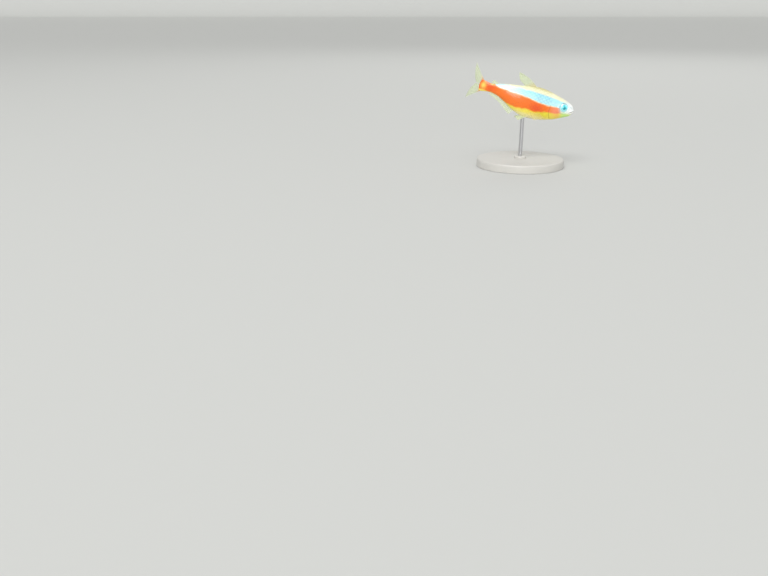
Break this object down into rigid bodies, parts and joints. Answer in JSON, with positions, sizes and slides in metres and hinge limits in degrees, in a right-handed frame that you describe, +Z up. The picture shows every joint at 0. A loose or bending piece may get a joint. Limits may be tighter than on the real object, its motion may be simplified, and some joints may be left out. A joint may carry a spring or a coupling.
{
  "type": "cardinal tetra",
  "caption": "Life-size still model of a cardinal tetra, swimming nose down with spread fins, on a short rod over a flat round base.",
  "frame": {"origin": "centre of the underside of the base", "axes": "+X along the fish towards its head, +Y to the fish's left, +Z up"},
  "size_m": [0.039, 0.032, 0.0366],
  "materials": {
    "head_skin": "painted cast resin, wet gloss",
    "flank_skin": "painted cast resin, wet gloss",
    "gill_cover": "painted cast resin, wet gloss",
    "eye": "clear high gloss",
    "fin": "translucent cast resin",
    "base": "satin paint",
    "rod": "brushed"
  },
  "bodies": {
    "root": {"head": "head_skin", "lower_jaw": "head_skin", "gill_cover_left": "gill_cover", "gill_cover_right": "gill_cover", "eye_left": "eye", "eye_right": "eye", "trunk": "flank_skin", "tail_stem": "flank_skin", "dorsal_fin": "fin", "adipose_fin": "fin", "anal_fin": "fin", "caudal_fin_upper": "fin", "caudal_fin_lower": "fin", "pelvic_fin_left": "fin", "pelvic_fin_right": "fin", "pectoral_fin_left": "fin", "pectoral_fin_right": "fin", "stand_base": "base", "stand_rod": "rod"}
  },
  "joints": []
}
